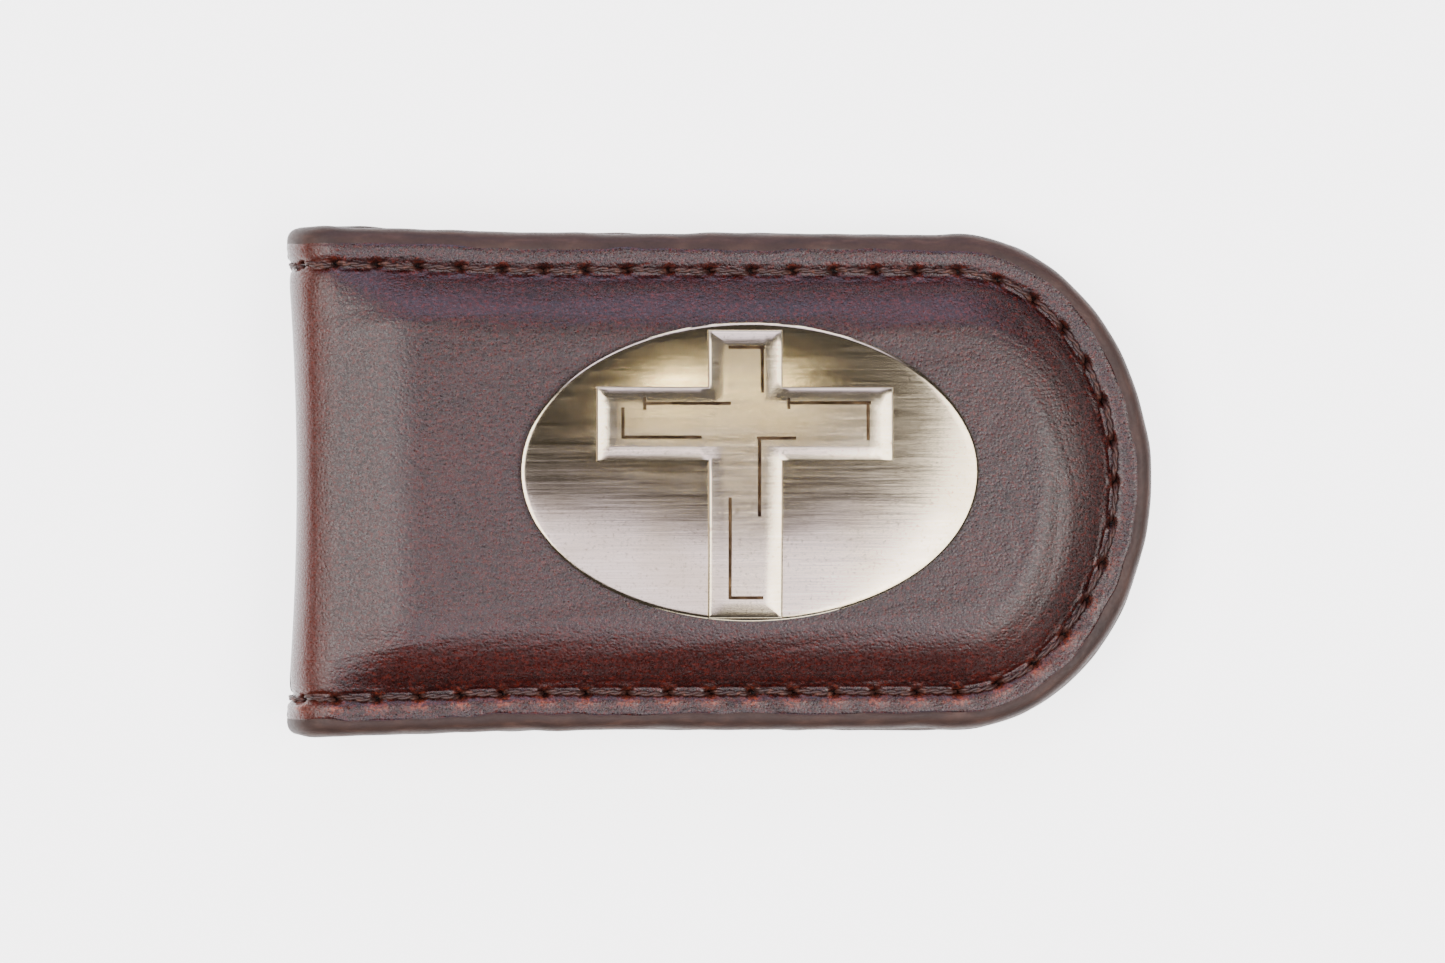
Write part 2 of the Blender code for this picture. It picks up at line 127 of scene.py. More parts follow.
# Rows across the cover and the lining, as insets
CLOSE_FROM, CLOSE_TO = 2.3, 4.28  # rows lie close together from here to here, for the seam
CLOSE_ROWS = 18
CLOSE_STEP = 0.11
SLOPE_ROWS = 15
TOP_ROWS = 8
TOP_STEP = 0.4
MIDDLE_FROM = 11.2
MIDDLE_ROWS = 6
INNER_INSETS = (0.12, 2.0, PAD_FOOT + PAD_SHIFT, 5.6, 6.2, 6.8, 7.4, PAD_FLAT, 14.0)
GLUED_INSETS = (0.12, 2.0, PAD_FOOT, PAD_FLAT, 14.0)
LINING_CLOSE_ROWS = 10
LINING_CLOSE_STEP = 0.17
LINING_MIDDLE_ROWS = 7

# Seam
SEAM_INSET = 3.15
STITCH_PITCH = 3.4
STEPS_PER_STITCH = 17
SEAM_SAMPLES = 6001
FOLD_STEP = 0.03  # a short step beside the fold's middle, which keeps the join flat
SEAM_SINK = 0.17  # depth of the groove that the thread lies in
GROOVE_HALF = 0.42
CREASE_DEPTH = 0.14  # the crease along the thread's inner side, between the holes
DIP_DEPTH = 0.17  # the wide hollow that the pull of the thread leaves
SNUG_DIP = 0.07  # how much deeper it is where the seam is snug
HOLE_DEPTH = 0.6
HOLE_LENGTH, HOLE_WIDTH = 0.40, 0.27
PUCKER_RISE = 0.13
LIP_RISE = 0.05
SLACK_PULL = 0.05  # the thread's pull on the far side, where 1 is the near side's
LINING_SINK = 0.14
LINING_LOW = 0.03
LINING_HOLE_DEPTH = 0.5

# Thread
THREAD_PLY = 0.25  # one of the thread's two plies
THREAD_LAY = 2.1  # length of one turn of the plies
THREAD_RINGS, THREAD_SIDES = 13, 6
STITCH_SLANT = (0.06, 0.24)
STITCH_SHIFT = 0.09
STITCH_CROWN = 0.12
STITCH_DIVE = 0.75  # how far its ends go down into the holes
NEEDLE_BED = 0.14  # how far below the seam's groove the needle thread's middle line starts

# Concho
CONCHO_LENGTH = 38.1
CONCHO_WIDTH = 24.8
CONCHO_DOME = 0.5
CONCHO_ROLL = 0.12
CONCHO_DISH = 0.11  # how far the plate is sunk round the cross
DISH_WIDTH = 5.5
DISH_FROM, DISH_RUN = -6.8, 7.6  # it deepens from here towards the cross's head
RIM_START = 0.975  # the rim's lower edge, as a share of the plate's half-length
RIM_TOP = 0.69
RIM = [  # its profile, as shares of the plate's half-length and heights
    (0.992, 0.06),
    (1.0, 0.16),
    (1.0, 0.52),
    (0.998, 0.60),
    (0.993, 0.655),
    (0.985, 0.68),
    (0.975, RIM_TOP),
]
DOME_RINGS = [0.955, *(0.93 - 0.05 * k for k in range(18))]
DOME_FROM = 0.6  # what is higher than this on the flat plate is drawn up with the dome
CROSS_X = -0.45
CROSS_Y = 3.94
CROSS_BAR = 6.2
CROSS_BEVEL = 1.2
CROSS_FOOT_WALL = 0.30
CROSS_RISE = 0.16
CROSS_SUNK = 0.4  # how much of the cross lies inside the plate
CROSS_SEAT = 0.29  # how high the cross's underside stands before it is bent to the dome
CROSS_ROUNDING = 0.16
CROSS_SHARP = math.radians(12)
CROSS_ARMS = {  # how far each arm reaches from the cross's middle
    (-1, 0): 12.33,
    (1, 0): 12.28,
    (0, 1): 11.76 - CROSS_Y,
    (0, -1): 12.15 + CROSS_Y,
}
CROSS_CUTS = {(1, 0, 0): 12, (0, 1, 0): 11}  # cuts on each side of the middle, so that it bends smoothly
CUT_PITCH = 1.07
GROOVE_WIDTH = 0.28
GROOVE_OVERRUN = 0.6  # how far a groove runs past its ends, as a share of its width
CONCHO_SHARP = math.radians(24)

# Studio
TABLE_SIZE = 3.0  # metres
TABLE_GAP = 0.00002
LIGHT_DISTANCE = 0.7
LENS, SENSOR = 100.0, 36.0
VIEW_WIDTH = 121.0  # what the camera takes in, this high above the table
VIEW_HEIGHT = 8.0

# Where the fold's centre lies and how far the front leaf leans, from the CAD's two hinge lines
HINGES = {joint["name"]: Vector(joint["pos_m"]) / MM for joint in frame["joints"]}
HINGE_OFFSET = OUTER_RADIUS * math.sqrt(0.5)
FOLD_CENTRE = HINGES["fold_lower"] + Vector((HINGE_OFFSET, 0.0, HINGE_OFFSET))
UPPER_OFFSET = HINGES["fold_upper"] - FOLD_CENTRE
TILT = HINGE_ANGLE - math.atan2(-UPPER_OFFSET.x, UPPER_OFFSET.z)
FOLD_ANGLE = math.pi + TILT
HALF_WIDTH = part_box("front_cover")[1].y / MM - FOLD_FLARE
BACK_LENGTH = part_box("back_cover")[1].x / MM - FOLD_CENTRE.x
FRONT_LENGTH = (BACK_LENGTH - OUTER_RADIUS * math.sin(TILT)) / math.cos(TILT)

FRAMES = {
    "front": Matrix.Translation(FOLD_CENTRE * MM) @ Matrix.Rotation(TILT, 4, "Y"),
    "back": Matrix.Translation(FOLD_CENTRE * MM) @ Matrix.Rotation(math.pi, 4, "X"),
}
LENGTHS = {"front": FRONT_LENGTH, "back": BACK_LENGTH}
TIP_SKEW = {"front": 0.0, "back": 0.4}  # how far sideways a leaf's tip has crept


# Materials ------------------------------------------------------------------------------------------------


def linear(code):
    """An sRGB hex colour as the renderer takes it."""
    parts = [int(code[i : i + 2], 16) / 255 for i in (1, 3, 5)]
    return (*(p / 12.92 if p <= 0.04045 else ((p + 0.055) / 1.055) ** 2.4 for p in parts), 1.0)


def connect(node, inputs):
    """Fills a node's inputs, in order or by name or number, with values, hex colours, nodes or sockets."""
    for key, value in inputs.items() if isinstance(inputs, dict) else enumerate(inputs):
        if isinstance(value, bpy.types.Node):
            value = value.outputs[0]
        if isinstance(value, bpy.types.NodeSocket):
            node.id_data.links.new(value, node.inputs[key])
        else:
            node.inputs[key].default_value = linear(value) if isinstance(value, str) else value


def add(tree, kind, inputs=(), stops=(), **settings):
    """Adds a node with its inputs and settings. The stops are a colour ramp's, as (place, hex colour)."""
    made = tree.nodes.new("ShaderNode" + kind)
    for name, value in settings.items():
        setattr(made, name, value)
    for _ in stops[2:]:  # a ramp starts with two
        made.color_ramp.elements.new(0.5)
    for k, (place, code) in enumerate(stops):
        made.color_ramp.elements[k].position = place
        made.color_ramp.elements[k].color = linear(code)
    connect(made, inputs)
    return made


def start_material(name):
    """A new material, its tree and its Principled shader."""
    made = bpy.data.materials.new(name)
    made.use_nodes = True
    return made, made.node_tree, made.node_tree.nodes["Principled BSDF"]


def stained(tree, colour, stains):
    """A colour under stains, each with its pattern, where that sets in and is full, its strength and hue."""
    for pattern, first, full, strength, hue in stains:
        amount = add(tree, "MapRange", [pattern, first, full, 0.0, strength])
        colour = add(tree, "Mix", {0: amount, 6: colour, 7: hue}, data_type="RGBA").outputs[2]
    return colour


def strip(tree, place, fade_in, fade_out):
    """1 along a strip of the leather, with its fades given as two stretches in millimetres."""
    rise = add(tree, "MapRange", [place, *fade_in])
    fall = add(tree, "MapRange", [place, *fade_out, 1.0, 0.0])
    return add(tree, "Math", [rise, fall], operation="MULTIPLY")


def grain_place(tree):
    """Where a point lies on the unrolled leather, in millimetres, so that the grain goes round the fold."""
    return add(tree, "Attribute", attribute_name="leather_place").outputs["Vector"]


def own_place(tree):
    """Where a point lies on the piece, in metres."""
    return add(tree, "TexCoord").outputs["Object"]


def mark(tree, name):
    """How strongly the piece is marked with wear beside the seam, or with painted shade in a needle hole."""
    return add(tree, "Attribute", attribute_name=name).outputs["Fac"]


def waxed_leather():
    """Vegetable-tanned leather, dyed dark brown and waxed: fine pores, cloudy dye and a satin sheen."""
    made, tree, shader = start_material("waxed_leather")
    place = grain_place(tree)
    cloud = add(tree, "TexNoise", {"Vector": place, "Scale": 0.11, "Detail": 4.0, "Roughness": 0.6})
    fleck = add(tree, "TexNoise", {"Vector": place, "Scale": 3.1, "Detail": 5.0, "Roughness": 0.8})
    fine = add(tree, "TexNoise", {"Vector": place, "Scale": 5.2, "Detail": 4.0, "Roughness": 0.75})
    drawn = add(tree, "Mapping", {"Vector": place, "Scale": (1.7, 4.6, 3.0)})  # fibres lie along the clip
    fibre = add(tree, "TexNoise", {"Vector": drawn, "Scale": 1.0, "Detail": 4.0})
    unrolled = add(tree, "SeparateXYZ", [place]).outputs
    past_fold = strip(tree, unrolled["X"], (1.0, 3.4), (4.2, 7.6))
    # painted shading: the near slope of the pad, which catches little sheen, is tinted a deeper red
    near_slope_painted_shade = strip(tree, unrolled["Y"], (-17.4, -15.4), (-14.0, -10.6))
    patchy = add(tree, "MapRange", [fleck, 0.42, 0.60, 0.15, 1.3])
    scuff = add(tree, "Math", [mark(tree, "seam_wear"), patchy], operation="MULTIPLY")
    worn = add(tree, "ValToRGB", [fleck], stops=[(0.35, "#4e1a11"), (0.65, "#8c4228")])
    dye = add(tree, "ValToRGB", [cloud], stops=[(0.30, "#1a0606"), (0.52, "#230707"), (0.75, "#2d0a08")])
    stains = [
        (fleck, 0.48, 0.66, 0.75, "#5a1b10"),
        (fibre, 0.46, 0.64, 0.75, "#0b0202"),
        (past_fold, 0.0, 1.0, 0.35, "#6b3020"),  # rubbed where the leather leaves the fold
        # painted shading on the near slope
        (near_slope_painted_shade, 0.0, 1.0, 0.05, "#6e1c0e"),
        (scuff, 0.0, 1.0, 1.0, worn),
        # painted shade: the needle holes darkened, as shade falls into them
        (mark(tree, "needle_hole"), 0.0, 1.0, 1.0, "#0b0403"),
    ]
    pore_cells = add(tree, "TexVoronoi", {"Vector": place, "Scale": 3.4, "Randomness": 1.0})
    pores = add(tree, "MapRange", [pore_cells, 0.05, 0.55])
    grain = add(tree, "Math", [pores, fine, fibre], operation="MULTIPLY_ADD")
    bump = add(tree, "Bump", {"Strength": 0.5, "Distance": 0.00007, "Height": grain})
    wax = add(tree, "MapRange", [fine, 0.36, 0.64, 0.17, 0.42])
    connect(shader, {"Base Color": stained(tree, dye, stains), "Normal": bump, "Roughness": wax, "IOR": 1.5})
    return made


def burnished_edge():
    """A cut leather edge, dyed and rubbed smooth with wax: satin, with faint lengthwise streaks."""
    made, tree, shader = start_material("burnished_edge")
    place = grain_place(tree)
    along = add(tree, "Mapping", {"Vector": place, "Scale": (0.35, 0.35, 4.0)})
    streak = add(tree, "TexNoise", {"Vector": along, "Scale": 1.0, "Detail": 4.0, "Roughness": 0.6})
    fine = add(tree, "TexNoise", {"Vector": place, "Scale": 4.0, "Detail": 3.0})
    colour = add(tree, "ValToRGB", [streak], stops=[(0.30, "#24140f"), (0.55, "#34211a"), (0.75, "#473027")])
    wax = add(tree, "MapRange", [fine, 0.3, 0.7, 0.46, 0.62])
    bump = add(tree, "Bump", {"Strength": 0.25, "Distance": 0.0001, "Height": streak})
    connect(shader, {"Base Color": colour, "Normal": bump, "Roughness": wax, "IOR": 1.4})
    return made


def lining_leather():
    """Thin drummed lining leather, matt, with a soft pebble."""
    made, tree, shader = start_material("lining_leather")
    place = grain_place(tree)
    cloud = add(tree, "TexNoise", {"Vector": place, "Scale": 0.15, "Detail": 4.0})
    fleck = add(tree, "TexNoise", {"Vector": place, "Scale": 3.2, "Detail": 5.0, "Roughness": 0.8})
    dye = add(tree, "ValToRGB", [cloud], stops=[(0.3, "#3a2018"), (0.7, "#4c2d20")])
    # the second stain is painted shade, darkening the needle holes
    stains = [(fleck, 0.4, 0.7, 0.6, "#6a4432"), (mark(tree, "needle_hole"), 0.0, 1.0, 1.0, "#0b0403")]
    pebble = add(tree, "TexVoronoi", {"Vector": place, "Scale": 2.2})
    bump = add(tree, "Bump", {"Strength": 0.4, "Distance": 0.00012, "Height": pebble})
    matt = add(tree, "MapRange", [fleck, 0.3, 0.7, 0.62, 0.80])
    connect(shader, {"Base Color": stained(tree, dye, stains), "Normal": bump, "Roughness": matt, "IOR": 1.5})
    return made


def waxed_thread():
    """Waxed polyester thread, dark brown: smooth plies with a dull sheen and paler rubbed flecks."""
    made, tree, shader = start_material("waxed_thread")
    place = own_place(tree)
    fleck = add(tree, "TexNoise", {"Vector": place, "Scale": 2500.0, "Detail": 3.0})
    patch = add(tree, "TexNoise", {"Vector": place, "Scale": 260.0, "Detail": 2.0})
    dye = add(tree, "ValToRGB", [fleck], stops=[(0.32, "#1f0d09"), (0.55, "#391c13"), (0.75, "#6c4231")])
    colour = stained(tree, dye, [(patch, 0.4, 0.7, 0.5, "#2c1510")])
    rough = add(tree, "MapRange", [fleck, 0.3, 0.7, 0.42, 0.62])
    connect(shader, {"Base Color": colour, "Roughness": rough, "IOR": 1.5})
    return made


def brushed_nickel_silver(name, smoothest, roughest):
    """Nickel silver brushed lengthways: fine parallel scratches, a warm grey and a little tarnish."""
    made, tree, shader = start_material(name)
    place = own_place(tree)
    along = add(tree, "Mapping", {"Vector": place, "Scale": (130.0, 6500.0, 900.0)})
    scratch = add(tree, "TexNoise", {"Vector": along, "Scale": 1.0, "Detail": 5.0, "Roughness": 0.7})
    wide_place = add(tree, "Mapping", {"Vector": place, "Scale": (60.0, 1600.0, 300.0)})
    wide = add(tree, "TexNoise", {"Vector": wide_place, "Scale": 1.0, "Detail": 3.0})
    speck = add(tree, "TexNoise", {"Vector": place, "Scale": 3600.0, "Detail": 4.0, "Roughness": 0.7})
    cloud = add(tree, "TexNoise", {"Vector": place, "Scale": 150.0, "Detail": 3.0})
    metal = add(tree, "ValToRGB", [scratch], stops=[(0.30, "#b2a68f"), (0.55, "#c5b9a1"), (0.75, "#d5cab4")])
    colour = stained(tree, metal, [(cloud, 0.45, 0.70, 0.35, "#a3946f"), (speck, 0.55, 0.70, 0.6, "#7a6c52")])
    both = add(tree, "Math", [scratch, wide], operation="ADD")
    rough = add(tree, "MapRange", [both, 0.7, 1.3, smoothest, roughest])
    bump = add(tree, "Bump", {"Strength": 0.06, "Distance": 0.00003, "Height": scratch})
    connect(shader, {"Base Color": colour, "Normal": bump, "Roughness": rough, "Metallic": 1.0})
    return made


def blackened_groove():
    """Nickel silver darkened with patina in the incised lines: brown-black and dull, with a little shine."""
    made, tree, shader = start_material("blackened_groove")
    patch = add(tree, "TexNoise", {"Vector": own_place(tree), "Scale": 900.0, "Detail": 3.0})
    colour = add(tree, "ValToRGB", [patch], stops=[(0.35, "#54463a"), (0.70, "#93826a")])
    connect(shader, {"Base Color": colour, "Roughness": 0.42, "Metallic": 1.0})
    return made


def pressed_board():
    """Bonded fibre board, raw: matt, with fibres pressed flat."""
    made, tree, shader = start_material("pressed_board")
    place = own_place(tree)
    fibre = add(tree, "TexNoise", {"Vector": place, "Scale": 900.0, "Detail": 6.0, "Roughness": 0.8})
    colour = add(tree, "ValToRGB", [fibre], stops=[(0.3, "#7d6750"), (0.7, "#ab9275")])
    bump = add(tree, "Bump", {"Strength": 0.4, "Distance": 0.0001, "Height": fibre})
    connect(shader, {"Base Color": colour, "Normal": bump, "Roughness": 0.85})
    return made


def plated_magnet():
    """Bright nickel plating over a pressed and sintered magnet: shiny, with a faint mottle."""
    made, tree, shader = start_material("plated_magnet")
    mottle = add(tree, "TexNoise", {"Vector": own_place(tree), "Scale": 700.0, "Detail": 4.0})
    colour = add(tree, "ValToRGB", [mottle], stops=[(0.3, "#b4b4b6"), (0.7, "#d0d0d2")])
    rough = add(tree, "MapRange", [mottle, 0.3, 0.7, 0.16, 0.30])
    connect(shader, {"Base Color": colour, "Roughness": rough, "Metallic": 1.0})
    return made


# Shape of the leather -------------------------------------------------------------------------------------


def smooth_step(value):
    """0 below 0, 1 above 1, and an even curve between."""
    value = np.clip(value, 0.0, 1.0)
    return value * value * (3 - 2 * value)


def hump(value, width):
    """A smooth bump of height 1 at 0."""
    return np.exp(-((value / width) ** 2))


def wander(along, period, seed):
    """A slow, even wobble between about -1 and 1."""
    source = random.Random(seed)
    total = np.zeros_like(along)
    for k in range(1, 6):
        turns = 2 * math.pi * along / period * k * source.uniform(0.8, 1.2)
        total += np.sin(turns + source.uniform(0, 2 * math.pi)) / k**0.8
    return total / 2.2


def calm(run, inset=0.0):
    """1 over a leaf, and 0 where it meets the other leaf or its own other half, so that they join."""
    return smooth_step(run / CALM_RUN) * smooth_step((HALF_WIDTH - inset) / CALM_WIDTH)


def half_width(x):
    """Half the leather's width here, which flares towards the fold."""
    return HALF_WIDTH + FOLD_FLARE * (1 - smooth_step(x / FLARE_RUN))


def outline(leaf, run, side, inset):
    """The angle round the fold, x and y of a place given by its run, its side and its inset."""
    end = LENGTHS[leaf] - END_DEPTH
    angle = FOLD_ANGLE / 2 * np.clip(1 - run, 0, 1)
    x = end * np.clip(run - 1, 0, 1)
    turn = math.pi / 2 * np.clip(3 - run, 0, 1)
    closing = np.clip((HALF_WIDTH - inset) / (HALF_WIDTH - PAD_FLAT), 0, 1)
    line = np.minimum(inset, PAD_FLAT)
    across = (half_width(x) - line) * closing * np.sin(turn)
    x = x + (END_DEPTH - line) * closing * np.cos(turn)
    return angle, x, side * across


def leaf_place(leaf, run, side, inset, height):
    """Points of a leaf, in metres and in the clip's own place, as an array whose last axis is x, y, z."""
    angle, x, y = outline(leaf, run, side, inset)
    y = y + TIP_SKEW[leaf] * smooth_step(x / LENGTHS[leaf])
    radius = INNER_RADIUS + height
    across = 1 - (y / half_width(0.0)) ** 2
    drawn = FOLD_WAIST * across * np.sin(math.pi * angle / FOLD_ANGLE) ** 2
    local = np.stack(
        np.broadcast_arrays(
            x - radius * np.sin(angle) + drawn * math.cos(TILT / 2),
            y,
            radius * np.cos(angle) + drawn * math.sin(TILT / 2),
        ),
        axis=-1,
    )
    matrix = np.array(FRAMES[leaf])
    return local * MM @ matrix[:3, :3].T + matrix[:3, 3]


def pad_share(inset, x, shift=0.0):
    """How much of its full rise the cover's hidden face has here."""
    side = smooth_step((inset - PAD_FOOT - shift) / PAD_SLOPE)
    return side * smooth_step((x - shift) / PAD_START_SLOPE)


def pillow_share(run, side, inset, unrolled):
    """The same for its outer face, which the tanned leather rounds over more softly, most at the tip."""
    turn = math.pi / 2 * np.clip(3 - run, 0, 1)
    beside = np.where(side > 0, PILLOW_SLOPES["far"], PILLOW_SLOPES["near"])
    slope = PILLOW_SLOPES["tip"] * np.cos(turn) ** 2 + beside * np.sin(turn) ** 2
    across = np.clip((inset - PILLOW_FOOT) / slope, 0, 1)
    across = np.minimum((1 + PILLOW_TOE) * across**2 / (across + PILLOW_TOE), 1)
    first, second, third = (np.clip(unrolled - a, 0, b - a) / (b - a) for a, b in PILLOW_START)
    widths = [b - a for a, b in PILLOW_START]
    risen = first**2 / 2 * widths[0] + second * widths[1] + (third - third**2 / 2) * widths[2]
    return (1 - (1 - across) ** 2) * risen / (widths[0] / 2 + widths[1] + widths[2] / 2)


class Seam:
    """One leaf's seam on one face, from the middle of the fold round the tip and back, in even steps."""

    def __init__(self, leaf, height):
        runs = np.linspace(0.0, 3.0, SEAM_SAMPLES)
        line = leaf_place(leaf, runs, 1.0, SEAM_INSET, height) / MM
        lengths = np.concatenate([[0.0], np.cumsum(np.linalg.norm(np.diff(line, axis=0), axis=1))])
        self.leaf = leaf
        self.height = height
        self.stitches = 2 * round(lengths[-1] / STITCH_PITCH)
        self.pitch = 2 * lengths[-1] / self.stitches
        steps = self.stitches * STEPS_PER_STITCH
        even = np.linspace(0.0, 2 * lengths[-1], steps + 1)
        even = np.concatenate([[0.0, FOLD_STEP], even[1:-1], [even[-1] - FOLD_STEP, even[-1]]])
        self.along = even
        self.run = np.interp(np.minimum(even, 2 * lengths[-1] - even), lengths, runs)
        self.side = np.where(even <= lengths[-1], 1.0, -1.0)

    def places(self, along, aside, height):
        """Points this far along the seam, this far in from it and this high above the lining's face."""
        run = np.interp(along, self.along, self.run)
        side = np.where(along <= self.along[-1] / 2, 1.0, -1.0)
        return leaf_place(self.leaf, run, side, SEAM_INSET + aside, height)

    def from_hole(self):
        """How far each step is from the nearest needle hole."""
        return np.abs((self.along / self.pitch + 0.5) % 1.0 - 0.5) * self.pitch


def build_shell(name, leaf, seam, outer_rows, inner_rows, materials, edge_rows):
    """A closed leather shell from rows of (inset, height, wear, hole), each over the seam's steps; hole is
    painted shade in the needle holes.

    Its first edge_rows rows and the wall between its two faces get the second material.
    """
    verts, marks = [], []
    for inset, height, wear, hole in [*outer_rows, *inner_rows]:
        verts.append(leaf_place(leaf, seam.run, seam.side, inset, height))
        angle, x, y = outline(leaf, seam.run, seam.side, inset)
        unrolled = x + OUTER_RADIUS * (FOLD_ANGLE / 2 - angle)
        turned = 1.0 if leaf == "front" else -1.0
        flat = np.broadcast_arrays(unrolled * turned, y * turned, height, wear, hole)
        marks.append(np.stack(flat, axis=-1))
    steps, outer = len(seam.along), len(outer_rows)
    points, marks = np.concatenate(verts), np.concatenate(marks)
    faces, slots = [], []
    for row in range(len(verts) - 1):
        if row == outer - 1:  # the outer face's last row and the inner face's first don't meet
            continue
        turn_over = row >= outer
        for k in range(steps - 1):
            a, b = row * steps + k, row * steps + k + 1
            quad = (a, b, b + steps, a + steps)
            faces.append(quad[::-1] if turn_over == (leaf == "front") else quad)
            slots.append(1 if row < edge_rows else 0)
    first_inner = outer * steps
    for k in range(steps - 1):
        faces.append((k, first_inner + k, first_inner + k + 1, k + 1))
        slots.append(1)
    mesh = bpy.data.meshes.new(name)
    mesh.from_pydata(points.tolist(), [], faces)
    mesh.polygons.foreach_set("material_index", slots)
    place = mesh.attributes.new("leather_place", "FLOAT_VECTOR", "POINT")
    place.data.foreach_set("vector", marks[:, :3].astype(np.float32).ravel())
    # the hole column becomes a mark of painted shade in the needle holes
    for column, title in ((3, "seam_wear"), (4, "needle_hole")):
        amount = mesh.attributes.new(title, "FLOAT", "POINT")
        amount.data.foreach_set("value", np.clip(marks[:, column], 0, 1).astype(np.float32))
    for material in materials:
        mesh.materials.append(material)
    bm = bmesh.new()
    bm.from_mesh(mesh)
    bmesh.ops.remove_doubles(bm, verts=bm.verts, dist=WELD)
    bmesh.ops.holes_fill(bm, edges=[e for e in bm.edges if e.is_boundary], sides=0)
    bmesh.ops.recalc_face_normals(bm, faces=bm.faces)
    bm.to_mesh(mesh)
    bm.free()
    mesh.shade_smooth()
    mesh.set_sharp_from_angle(angle=SHARP_EDGE)
    made = bpy.data.objects.new(name, mesh)
    bpy.context.scene.collection.objects.link(made)
    return made


def cover_rows(leaf, seam):
    """The cover's outer rows, from the middle of its edge over the padded middle, and its inner rows."""
    along, none = seam.along, np.zeros_like(seam.along)
    off_hole = seam.from_hole()
    near = np.where(seam.side < 0, smooth_step((3 - seam.run) * 1.6), 0.0)
    pull = SLACK_PULL + (1 - SLACK_PULL) * near  # the seam was pulled tighter on the near side
    snug = np.where(seam.side < 0, 1.0, smooth_step((seam.run - 2) * 1.4))
    wave = EDGE_WAVE * wander(along, 21.0, leaf + "edge") * calm(seam.run)
    band = EDGE_BAND + EDGE_BAND_WAVE * wander(along, 17.0, leaf + "band") * calm(seam.run)
    outer = []
    for k in range(EDGE_STEPS + 1):
        turn = math.pi / 2 * (1 - k / EDGE_STEPS)
        out, up = math.sin(turn) ** EDGE_SQUARENESS, max(math.cos(turn), 0.0) ** EDGE_SQUARENESS
        height = BORDER - EDGE_CREASE - EDGE_DROP * (1 - up)
        outer.append((band * (1 - out) + wave * out, height + none, none, none))
    insets = [band + 0.05, band + 0.16, band + 0.36, (band + CLOSE_FROM) / 2 + 0.2, CLOSE_FROM + none]
    insets += [CLOSE_FROM + CLOSE_STEP * k + none for k in range(1, CLOSE_ROWS + 1)]
    insets += [CLOSE_TO + (PAD_FLAT - CLOSE_TO) * k / SLOPE_ROWS + none for k in range(1, SLOPE_ROWS + 1)]
    insets += [PAD_FLAT + TOP_STEP * k + none for k in range(1, TOP_ROWS + 1)]
    insets += [
        MIDDLE_FROM + (HALF_WIDTH - MIDDLE_FROM) * k / MIDDLE_ROWS + none for k in range(1, MIDDLE_ROWS + 1)
    ]
    for inset in insets:
        angle, x, _ = outline(leaf, seam.run, seam.side, inset)
        aside = inset - SEAM_INSET
        rise = PAD_RISE * pillow_share(seam.run, seam.side, inset, x - OUTER_RADIUS * angle)
        crease = CREASE_DEPTH * hump(aside - 0.44, 0.16) * smooth_step(off_hole)
        sink = SEAM_SINK * hump(aside - 0.05, GROOVE_HALF) + crease
        sink = sink + (DIP_DEPTH + SNUG_DIP * snug) * hump(aside - 0.1, 1.0 + 0.5 * snug)
        hole = hump(off_hole, HOLE_LENGTH) * hump(aside, HOLE_WIDTH)
        pucker = pull * hump(off_hole, 0.85) * hump(aside + 0.78, 0.36)  # outside the seam, by each hole
        lip = LIP_RISE * pull * hump(aside + 0.55, 0.5)
        uneven = SKIN_WAVE * wander(along + 7 * inset, 23.0, leaf + "skin") * calm(seam.run, inset)
        step = -EDGE_CREASE * hump(inset - band, 0.10)
        height = BORDER + rise - sink - HOLE_DEPTH * hole + PUCKER_RISE * pucker + lip + uneven + step
        wear = 0.8 * pucker + (0.25 + 0.3 * near) * hump(off_hole, 0.55) * hump(aside, 0.5)
        # the last column is painted shade in the needle holes
        outer.append((inset, height, wear, 1.5 * hole))
    inner = []
    low = LINING_THICK + LAYER_GAP - GLUE_LINE
    for inset in (*INNER_INSETS, HALF_WIDTH):
        inset = inset + none
        x = outline(leaf, seam.run, seam.side, inset)[1]
        inner.append((inset, low + PAD_RISE * pad_share(inset, x, PAD_SHIFT), none, none))
    return outer, inner


def lining_rows(leaf, seam):
    """The lining's bare face, from the middle of its edge inwards, and the glued face behind it."""
    along, none = seam.along, np.zeros_like(seam.along)
    off_hole = seam.from_hole()
    wave = EDGE_WAVE * wander(along, 21.0, leaf + "edge") * calm(seam.run)
    bare = []
    for k in range(LINING_EDGE_STEPS + 1):
        turn = math.pi / 2 * (1 - k / LINING_EDGE_STEPS)
        inset = LINING_EDGE_BAND * (1 - math.sin(turn)) + wave * math.sin(turn)
        bare.append((inset, LINING_EDGE_HEIGHT * (1 - math.cos(turn)) + none, none, none))
    close = [CLOSE_FROM + LINING_CLOSE_STEP * k for k in range(LINING_CLOSE_ROWS + 1)]
    insets = [0.8, 1.6, *close, 4.6, 6.0, PAD_FLAT]
    insets += [
        PAD_FLAT + (HALF_WIDTH - PAD_FLAT) * k / LINING_MIDDLE_ROWS for k in range(1, LINING_MIDDLE_ROWS + 1)
    ]
    for inset in insets:
        aside = inset - SEAM_INSET
        hole = hump(off_hole, HOLE_LENGTH) * hump(aside, HOLE_WIDTH)
        uneven = LINING_WAVE * wander(along + 5 * inset, 19.0, leaf + "lining") * calm(seam.run, inset)
        sink = LINING_SINK * hump(aside, 0.45) + LINING_LOW + uneven
        # the last column is painted shade in the needle holes
        bare.append((inset + none, sink + LINING_HOLE_DEPTH * hole, none, 1.5 * hole))
    high = LINING_THICK + GLUE_LINE
    return bare, [(inset + none, high + none, none, none) for inset in (*GLUED_INSETS, HALF_WIDTH)]


def bend(piece):
    """Bakes the piece's placement into its mesh."""
    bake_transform(piece)


